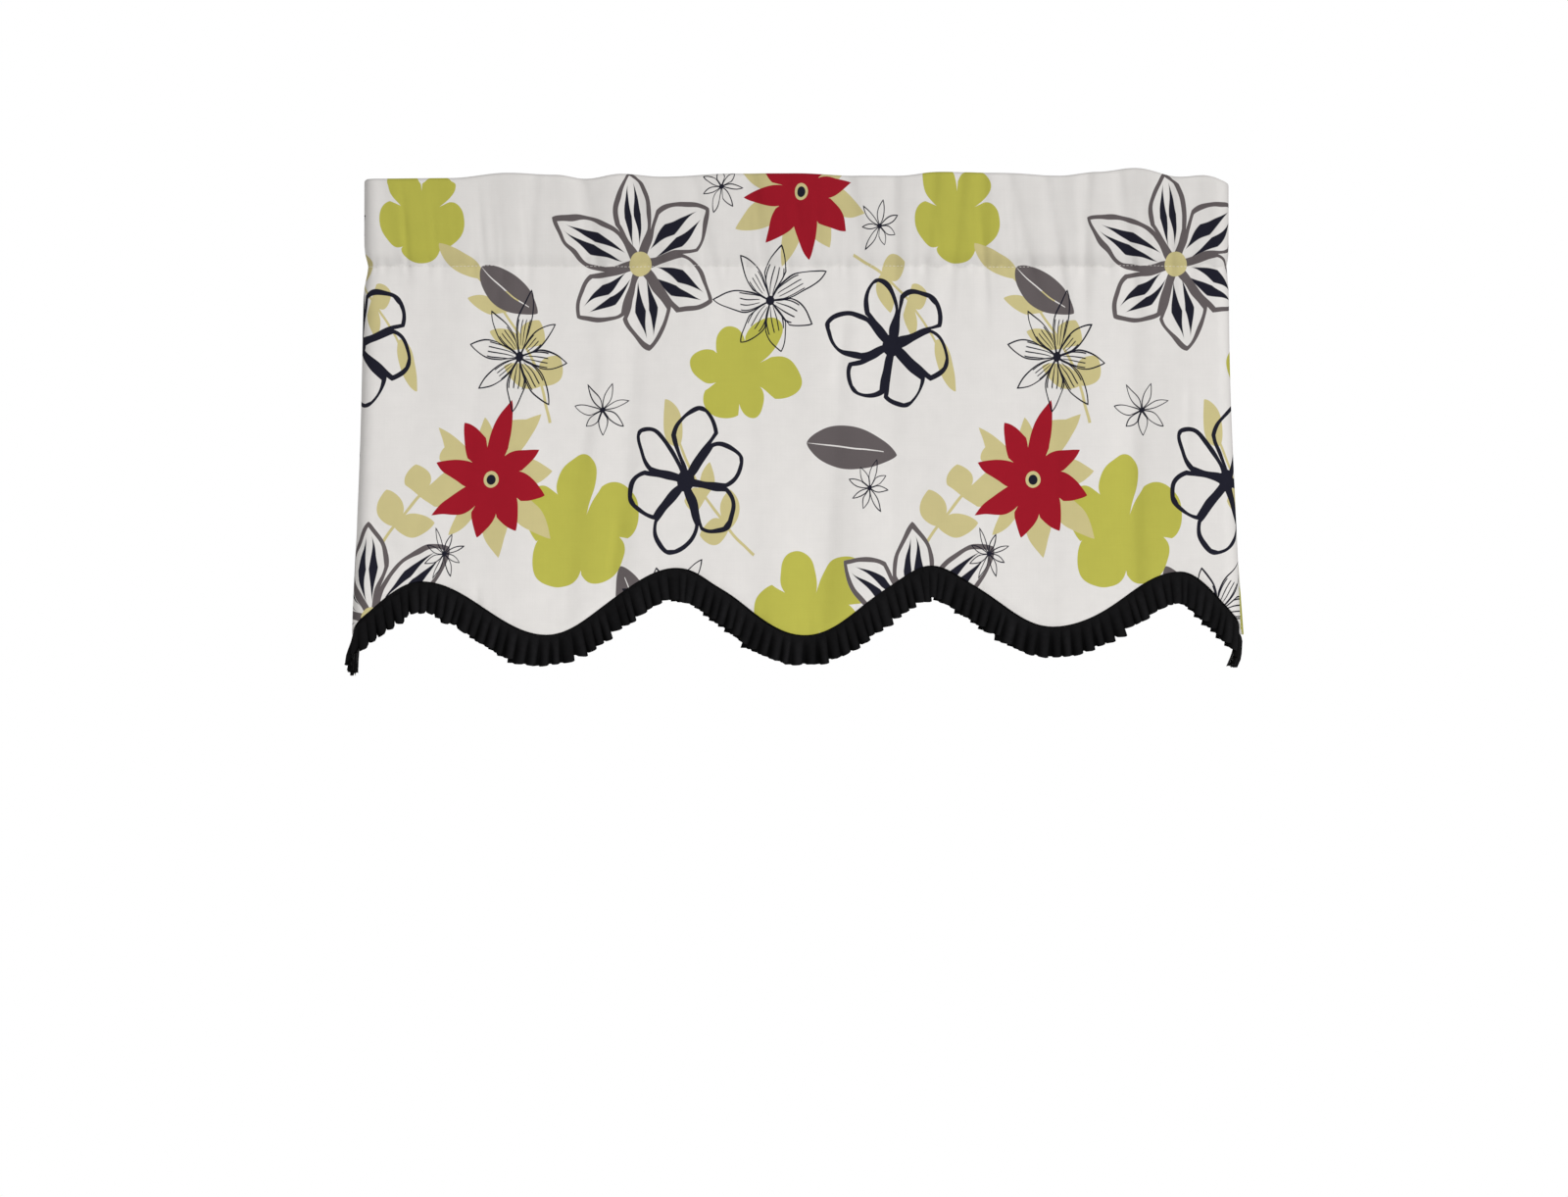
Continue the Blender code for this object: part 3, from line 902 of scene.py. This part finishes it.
REDS = (                    # x, y, turn, petals, length, width, seed
    (0.225, 0.262, 0.2, 8, 0.062, 0.17, 1),
    (0.005, 0.020, 0.6, 8, 0.058, 0.18, 2),
)
TAUPES = (
    (-0.150, 0.082, 0.35, 6, 0.090, 0.24, 1),
    (0.115, 0.378, 0.10, 7, 0.086, 0.22, 2),
)
BOLDS = (
    (0.092, 0.150, 0.2, 6, 0.066, 0.30, 1),
    (-0.105, 0.262, 0.7, 6, 0.062, 0.31, 2),
)
PENNED = (
    (-0.025, 0.112, 0.4, 7, 0.054, 0.17, 1),
    (0.250, 0.158, 0.1, 8, 0.050, 0.15, 2),
    (-0.120, 0.372, 0.8, 7, 0.048, 0.17, 3),
    (0.070, 0.268, 0.2, 8, 0.021, 0.15, 4),
    (-0.072, 0.018, 0.9, 7, 0.021, 0.16, 5),
    (-0.185, 0.205, 0.5, 7, 0.023, 0.16, 6),
    (0.182, 0.326, 1.1, 8, 0.020, 0.15, 7),
    (0.080, 0.052, 0.3, 7, 0.020, 0.16, 8),
    (-0.115, 0.595, 0.6, 7, 0.036, 0.17, 9),
)


def printed(tree, place_at):
    """The colour of the print at a flat place on the cloth."""
    petal = petal_group()
    blossom, sprig = blossom_group(petal), sprig_group(petal)
    colour = tree.nodes.new("ShaderNodeRGB").outputs[0]
    colour.default_value = GROUND
    colour = Term(colour)
    shake = Term(noise(tree, place_at, 55.0, detail=0.0, kind="2D").outputs[0]) - 0.5

    def inside(edge):
        return ramp(edge, -SOFT_EDGE, SOFT_EDGE)

    def outline(edge, width, vary):
        return edge.of("MINIMUM", -(edge - width - shake * vary))

    def lay(mask, ink):
        nonlocal colour
        colour = mixed(tree, mask, colour, ink)

    def flower(row, widest, rounding, uneven=0.8, bend=0.2, grow=1.0, turned=0.0, extra=0):
        x, y, turn, petals, length, width, seed = row
        return use(tree, blossom, Place=place_at, X=x, Y=y, Turn=turn + turned, Petals=petals,
                   Length=length * grow, Width=width * length * grow, Widest=widest, Round=rounding,
                   Uneven=uneven, Bend=bend, Seed=seed + extra)

    for row in SILHOUETTES:
        lay(inside(flower(row, 0.62, 0.5)["Edge"]), CHARTREUSE)
    for x, y, turn, length, gap, leaf, width, bend, seed in SPRIGS:
        made = use(tree, sprig, Place=place_at, X=x, Y=y, Turn=turn, Length=length, Gap=gap,
                   Leaf=leaf, Width=width, Bend=bend, Uneven=0.5, Seed=seed + 0.5)
        lay(inside(made["Edge"].of("MAXIMUM", made["Stem"])), KHAKI)
    for x, y, turn, length, width, bend, seed in LEAVES:
        row = (x, y, turn, 1, length, width, seed)
        leaf = flower(row, 0.45, 0.7, uneven=0.35, bend=bend, extra=60)
        vein = (abs(leaf["Ratio"]) * (length * width) - 0.0006).of("MAXIMUM", leaf["Share"] - 0.86)
        lay(inside(leaf["Edge"].of("MINIMUM", vein)), TAUPE)
    for row in REDS:
        lay(inside(flower(row, 0.5, 0.85, grow=1.04, turned=0.42, extra=20)["Edge"]), KHAKI)
        made = flower(row, 0.45, 0.85)
        lay(inside(made["Edge"]), RED)
        lay(inside(-(made["Reach"] - 0.0068)), KHAKI)
        lay(inside(-(made["Reach"] - 0.0042)), INK)
    for row in TAUPES:
        made = flower(row, 0.52, 0.75)
        lay(inside(made["Edge"]), GROUND)
        vein = (made["Share"] - 0.52).of("ABSOLUTE").of("MULTIPLY_ADD", -0.012, 0.0040)
        stripe = (abs(abs(made["Ratio"]) - 0.26) * -0.010) + vein * 0.5
        lay(inside(stripe.of("MINIMUM", made["Edge"])), INK)
        lay(inside(outline(made["Line"], 0.0040, 0.0030)), TAUPE)
        lay(inside(-(made["Reach"] - 0.0100)), KHAKI)
    for row in BOLDS:
        made = flower(row, 0.60, 0.6)
        lay(inside(outline(made["Line"], 0.0041, 0.0030)), INK)
        lay(inside(-(made["Reach"] - 0.0090)), INK)
    for row in PENNED:
        made = flower(row, 0.50, 0.8)
        small = row[4] < 0.03
        stroke = 0.0009 if small else 0.0012
        lay(inside(outline(made["Line"], stroke, 0.0006)), INK)
        if not small:
            veins = abs((made["Ratio"] * 2.0).of("FRACT") - 0.5) * (row[4] * row[5] * 0.5)
            past = abs(made["Share"] - 0.36) - 0.20 - made["Chance"] * 0.12
            vein = (-(veins - 0.0005)).of("MINIMUM", -past * 0.01)
            lay(inside(vein.of("MINIMUM", made["Edge"])), INK)
        lay(inside(-(made["Reach"] - (0.0022 if small else 0.0040))), INK)
    return colour


# --- materials ---

def material(name):
    made = bpy.data.materials.new(name)
    made.use_nodes = True
    return made, made.node_tree, made.node_tree.nodes["Principled BSDF"]


def mixed(tree, share, first, second):
    mix = tree.nodes.new("ShaderNodeMix")
    mix.data_type = "RGBA"
    feed(mix.inputs["Factor"], share)
    feed(mix.inputs[6], first)
    feed(mix.inputs[7], second)
    return Term(mix.outputs[2])


def dimmed(tree, colour, value):
    """A colour made lighter or darker by a number."""
    start = colour if isinstance(colour, Term) else colour[:3]
    node = node_of(tree, "ShaderNodeVectorMath", {"operation": "SCALE"}, Vector=start, Scale=value)
    return Term(node.outputs[0])


def bump(tree, shader, height, strength, distance):
    node = node_of(tree, "ShaderNodeBump", Height=height, Strength=strength, Distance=distance)
    feed(shader.inputs["Normal"], Term(node.outputs[0]))


def woven(across, down, period):
    """The over and under of a plain weave, from 0 to 1; the period holds two threads."""
    turns = 2 * math.pi / period
    return ((across * turns).of("SINE") * (down * turns).of("SINE")).of("MULTIPLY_ADD", 0.5, 0.5)


def slubbed(tree, across, down):
    """Thick and thin places that run along the threads, both ways, round 0."""
    total = 0.0
    for first, second, seed in ((across, down, 1.0), (down, across, 5.0)):
        spot = joined(tree, first * 22.0, second * 900.0, seed)
        total = (Term(noise(tree, spot, 1.0).outputs[0]) - 0.5) + total
    return total


def printed_cotton():
    made, tree, shader = material("printed_cotton")
    flat = Term(node_of(tree, "ShaderNodeUVMap", {"uv_map": "cloth"}).outputs[0])
    reverse = Term(node_of(tree, "ShaderNodeAttribute", {"attribute_name": "reverse"}).outputs["Fac"])
    across, down = split(tree, flat)[:2]
    slub = slubbed(tree, across, down)
    cloudy = Term(noise(tree, flat, 70.0, detail=3.0, kind="2D").outputs[0]) - 0.5
    ink = printed(tree, flat)
    through = mixed(tree, SHOW_THROUGH, BARE, ink)
    sides = mixed(tree, reverse, ink, through)
    # Painted shade: where the cloth lies double over the pocket it is darker than the single skirt, and
    # darker still over the turned-in edge at the seam and where the thread draws harder
    drawn = Term(noise(tree, joined(tree, across, 0.0), 85.0, kind="2D").outputs[0]) - 0.5
    below = down - (SEAM_DROP + CROWN_EXTRA) + drawn * 0.0075
    single = ramp(below, -0.0012, 0.0012)
    # Painted shade along the seam, over the turned-in edge, deepest where the thread draws harder
    seam_shade_mask = ramp(below, -0.0125, -0.0030) - single
    seam_shade_depth = TURNED_IN_SHADE
    for at, width, more in TIGHT_SEAM:
        near = ramp(abs(across / FULLNESS - at), 1.7 * width, 0.0)
        seam_shade_depth = near * (PULLED_SEAM_SHADE * more) + seam_shade_depth
    painted_shade = seam_shade_mask.of("MAXIMUM", 0.0) * seam_shade_depth
    painted_shade = single * (1 - DOUBLE_LAYER_SHADE) + DOUBLE_LAYER_SHADE - painted_shade
    feed(shader.inputs["Base Color"], dimmed(tree, sides, painted_shade * (slub * 0.032 + cloudy * 0.06 + 1.0)))
    shader.inputs["Roughness"].default_value = 0.88
    shader.inputs["Specular IOR Level"].default_value = 0.2
    height = woven(across, down, COTTON_WEAVE) + slub * 1.2
    bump(tree, shader, height, 0.35, 0.00006)
    return made


def black_cloth():
    made, tree, shader = material("black_ruffle_cloth")
    flat = Term(node_of(tree, "ShaderNodeUVMap", {"uv_map": "cloth"}).outputs[0])
    ridge = Term(node_of(tree, "ShaderNodeAttribute", {"attribute_name": "ridge"}).outputs["Fac"])
    across, down = split(tree, flat)[:2]
    head = ramp(down, 0.0, 0.009).of("MULTIPLY_ADD", -0.08, 1.08)
    # Painted shade in the pleats' valleys and painted sheen on their ridges, with some wear on the ridges
    shade_sheen_and_wear = (ridge ** 2.4).of("MULTIPLY_ADD", 0.95, 0.38)
    lint = Term(noise(tree, joined(tree, across, down), 240.0, detail=3.0, kind="2D").outputs[0]) - 0.5
    feed(shader.inputs["Base Color"], dimmed(tree, BLACK_DYE, head * shade_sheen_and_wear * (lint * 0.5 + 1.0)))
    shader.inputs["Roughness"].default_value = 0.75
    shader.inputs["Specular IOR Level"].default_value = 0.05
    bump(tree, shader, woven(across, down, TRIM_WEAVE), 0.3, 0.00005)
    return made


def thread(name, colour):
    """Twisted sewing thread."""
    made, tree, shader = material(name)
    place_at = Term(tree.nodes.new("ShaderNodeTexCoord").outputs["Object"])
    ply = Term(noise(tree, place_at, 2600.0).outputs[0])
    feed(shader.inputs["Base Color"], dimmed(tree, colour, ply.of("MULTIPLY_ADD", 0.3, 0.85)))
    shader.inputs["Roughness"].default_value = 0.55
    bump(tree, shader, ply, 0.4, 0.00004)
    return made


# --- camera, light and floor ---

PHOTO = (1600, 1221)
PX_PER_M = 1220.0           # in the photograph, at the face
FACE_MIDDLE = (812.5, 176.5)    # the pixel of the crown's middle
CAMERA_AWAY = 4.0
FLOOR_DROP = 1.35


def stage():
    """The camera at the photograph's angle, the floor and soft lights."""
    camera = bpy.data.cameras.new("camera")
    camera.sensor_width = 36.0
    camera.lens = 36.0 * CAMERA_AWAY * PX_PER_M / PHOTO[0]
    stand = bpy.data.objects.new("camera", camera)
    stand.location = (
        (PHOTO[0] / 2 - FACE_MIDDLE[0]) / PX_PER_M,
        FRONT - CAMERA_AWAY,
        (FACE_MIDDLE[1] - PHOTO[1] / 2) / PX_PER_M,
    )
    stand.rotation_euler = (math.pi / 2, 0, 0)
    bpy.context.scene.collection.objects.link(stand)
    bpy.context.scene.camera = stand
    bpy.ops.mesh.primitive_plane_add(size=3.2, location=(0, 0.1, -FLOOR_DROP))
    floor = bpy.context.object
    floor.name = "floor"
    made, _, shader = material("floor")
    shader.inputs["Base Color"].default_value = (0.86, 0.86, 0.85, 1)
    shader.inputs["Roughness"].default_value = 0.9
    floor.data.materials.append(made)
    for name, place_at, size, power in (
        ("key_light", (5.6, -7.0, 3.4), 2.4, 588),
        ("fill_light", (-4.0, 0.0, 0.3), 1.5, 31),
        ("low_light", (-0.2, -1.8, -1.2), 0.9, 13),
        ("back_light", (0.3, 3.2, 0.5), 1.2, 40),
    ):
        lamp = bpy.data.lights.new(name, "AREA")
        lamp.size = size
        lamp.energy = power
        light = bpy.data.objects.new(name, lamp)
        light.location = place_at
        aim = Vector((0, 0, -0.2)) - Vector(place_at)
        light.rotation_euler = aim.to_track_quat("-Z", "Y").to_euler()
        bpy.context.scene.collection.objects.link(light)
    world = bpy.data.worlds.new("studio")
    bpy.context.scene.world = world
    world.use_nodes = True
    nodes, links = world.node_tree.nodes, world.node_tree.links
    sky = nodes["Background"]
    sky.inputs["Color"].default_value = (1, 1, 1, 1)
    path = nodes.new("ShaderNodeLightPath")
    strength = nodes.new("ShaderNodeMapRange")
    strength.inputs["To Min"].default_value = 0.22
    strength.inputs["To Max"].default_value = 1.0
    links.new(path.outputs["Is Camera Ray"], strength.inputs["Value"])
    links.new(strength.outputs["Result"], sky.inputs["Strength"])
    bpy.context.scene.view_settings.view_transform = "Standard"


def main():
    cloth = valance_cloth()
    trim, trim_length = pleated_trim()
    seams, head = white_stitches(), trim_stitches()
    cloth.data.materials.append(printed_cotton())
    trim.data.materials.append(black_cloth())
    seams.data.materials.append(thread("white_thread", WHITE_THREAD))
    head.data.materials.append(thread("black_thread", BLACK_DYE))
    stage()


main()
